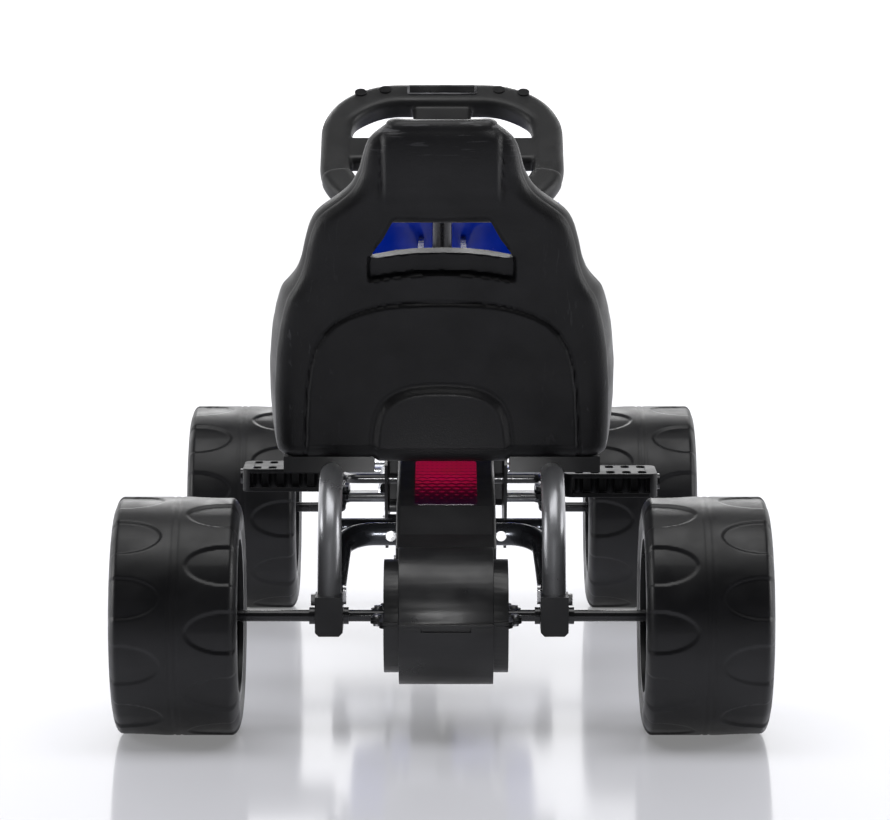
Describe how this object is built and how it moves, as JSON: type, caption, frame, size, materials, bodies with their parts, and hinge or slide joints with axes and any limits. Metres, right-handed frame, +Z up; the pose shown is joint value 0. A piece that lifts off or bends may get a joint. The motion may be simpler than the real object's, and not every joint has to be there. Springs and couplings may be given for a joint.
{
  "type": "pedal go kart",
  "caption": "Child's pedal go kart: bucket seat on bent tubes, wheel steering of the front axle, and a covered chain drive from pedals to the rear axle.",
  "frame": {"origin": "on the ground, under the middle of the kart's length and width", "axes": "+Y forward, +X the rider's right, +Z up"},
  "size_m": [0.61, 0.98, 0.584],
  "materials": {
    "seat_plastic": "fine leather-like grain",
    "tyre_plastic": "satin moulded",
    "rim_plastic": "satin",
    "cap_plastic": "satin gloss",
    "bush_nylon": "smooth nylon",
    "gunmetal_tube": "metallic gunmetal",
    "dark_tube": "gloss powder coat",
    "black_rod": "black oxide, oiled",
    "chain_steel": "oiled",
    "cover_plastic": "satin",
    "decal_film": "printed film",
    "fairing_blue": "gloss",
    "bumper_silver": "metallic silver",
    "grip_plastic": "fine grain",
    "pedal_plastic": "satin",
    "badge_silver": "silver",
    "bright_fasteners": "bright plated"
  },
  "bodies": {
    "frame": {"main_beam": "dark_tube", "rear_stay_left": "dark_tube", "rear_stay_right": "dark_tube", "seat_tube_left": "gunmetal_tube", "seat_tube_right": "gunmetal_tube", "seat_cross_bar": "dark_tube", "front_axle": "dark_tube", "column_tube": "dark_tube", "column_bushes": "bush_nylon", "column_clamp": "dark_tube", "clamp_screws": "bright_fasteners", "bearing_block_left": "cover_plastic", "bearing_block_right": "cover_plastic", "axle_bushes": "bush_nylon", "wing_bolts": "bright_fasteners", "stay_bolts": "bright_fasteners", "gear_case_upper": "cover_plastic", "gear_case_lower": "cover_plastic", "chain_cover": "cover_plastic", "cover_decal": "decal_film", "crank_cowl": "cover_plastic", "cover_screws": "bright_fasteners", "front_fairing": "fairing_blue", "front_bumper": "bumper_silver", "chain": "chain_steel", "crank_bush": "bush_nylon", "seat_shell": "seat_plastic", "seat_mounts": "cover_plastic", "seat_bolts": "bright_fasteners"},
    "steering": {"steering_shaft": "black_rod", "steering_wheel": "grip_plastic", "wheel_badge": "badge_silver", "wheel_plugs": "cover_plastic"},
    "rear_axle": {"rear_axle": "black_rod", "rear_sprocket": "black_rod", "axle_nuts": "bright_fasteners", "tyre_rear_left": "tyre_plastic", "rim_rear_left": "rim_plastic", "wheel_cap_rear_left": "cap_plastic", "tyre_rear_right": "tyre_plastic", "rim_rear_right": "rim_plastic", "wheel_cap_rear_right": "cap_plastic"},
    "crank": {"crankshaft": "black_rod", "chainring": "black_rod"},
    "pedal_left": {"pedal_left": "pedal_plastic"},
    "pedal_right": {"pedal_right": "pedal_plastic"},
    "tie_rod_left": {"tie_rod_left": "black_rod"},
    "knuckle_left": {"knuckle_left": "black_rod", "front_nuts_left": "bright_fasteners"},
    "wheel_front_left": {"tyre_front_left": "tyre_plastic", "rim_front_left": "rim_plastic", "wheel_cap_front_left": "cap_plastic", "hub_bushes_front_left": "bush_nylon"},
    "tie_rod_right": {"tie_rod_right": "black_rod"},
    "knuckle_right": {"knuckle_right": "black_rod", "front_nuts_right": "bright_fasteners"},
    "wheel_front_right": {"tyre_front_right": "tyre_plastic", "rim_front_right": "rim_plastic", "wheel_cap_front_right": "cap_plastic", "hub_bushes_front_right": "bush_nylon"}
  },
  "joints": [
    {"name": "steering_turn", "type": "hinge", "parent": "frame", "child": "steering", "pos_m": [0, 0.31542, 0.1507], "axis": [0, -0.5299, 0.848], "range_deg": [-20, 20]},
    {"name": "rear_axle_spin", "type": "hinge", "parent": "frame", "child": "rear_axle", "pos_m": [0, -0.3785, 0.1115], "axis": [-1, 0, 0], "continuous": true},
    {"name": "crank_spin", "type": "hinge", "parent": "frame", "child": "crank", "pos_m": [0, 0.03409, 0.1833], "axis": [-1, 0, 0], "continuous": true},
    {"name": "pedal_left_spin", "type": "hinge", "parent": "crank", "child": "pedal_left", "pos_m": [-0.162, 0.11859, 0.17412], "axis": [-1, 0, 0], "continuous": true},
    {"name": "pedal_right_spin", "type": "hinge", "parent": "crank", "child": "pedal_right", "pos_m": [0.17, -0.05042, 0.19248], "axis": [-1, 0, 0], "continuous": true},
    {"name": "tie_rod_left_swing", "type": "hinge", "parent": "steering", "child": "tie_rod_left", "pos_m": [-0.008, 0.2815, 0.1295], "axis": [0, -0.5299, 0.848], "range_deg": [-20, 20]},
    {"name": "knuckle_left_turn", "type": "hinge", "parent": "frame", "child": "knuckle_left", "pos_m": [-0.112, 0.3215, 0.1115], "axis": [0, 0, 1], "range_deg": [-20, 20]},
    {"name": "wheel_front_left_spin", "type": "hinge", "parent": "knuckle_left", "child": "wheel_front_left", "pos_m": [-0.2177, 0.3215, 0.1115], "axis": [-1, 0, 0], "continuous": true},
    {"name": "tie_rod_right_swing", "type": "hinge", "parent": "steering", "child": "tie_rod_right", "pos_m": [0.008, 0.2815, 0.1295], "axis": [0, -0.5299, 0.848], "range_deg": [-20, 20]},
    {"name": "knuckle_right_turn", "type": "hinge", "parent": "frame", "child": "knuckle_right", "pos_m": [0.112, 0.3215, 0.1115], "axis": [0, 0, 1], "range_deg": [-20, 20]},
    {"name": "wheel_front_right_spin", "type": "hinge", "parent": "knuckle_right", "child": "wheel_front_right", "pos_m": [0.2177, 0.3215, 0.1115], "axis": [-1, 0, 0], "continuous": true}
  ],
  "couplings": [
    {"joint": "crank_spin", "follows": "rear_axle_spin", "ratio": 0.71429},
    {"joint": "tie_rod_left_swing", "follows": "steering_turn", "ratio": -1},
    {"joint": "knuckle_left_turn", "follows": "steering_turn", "ratio": 1},
    {"joint": "tie_rod_right_swing", "follows": "steering_turn", "ratio": -1},
    {"joint": "knuckle_right_turn", "follows": "steering_turn", "ratio": 1}
  ]
}
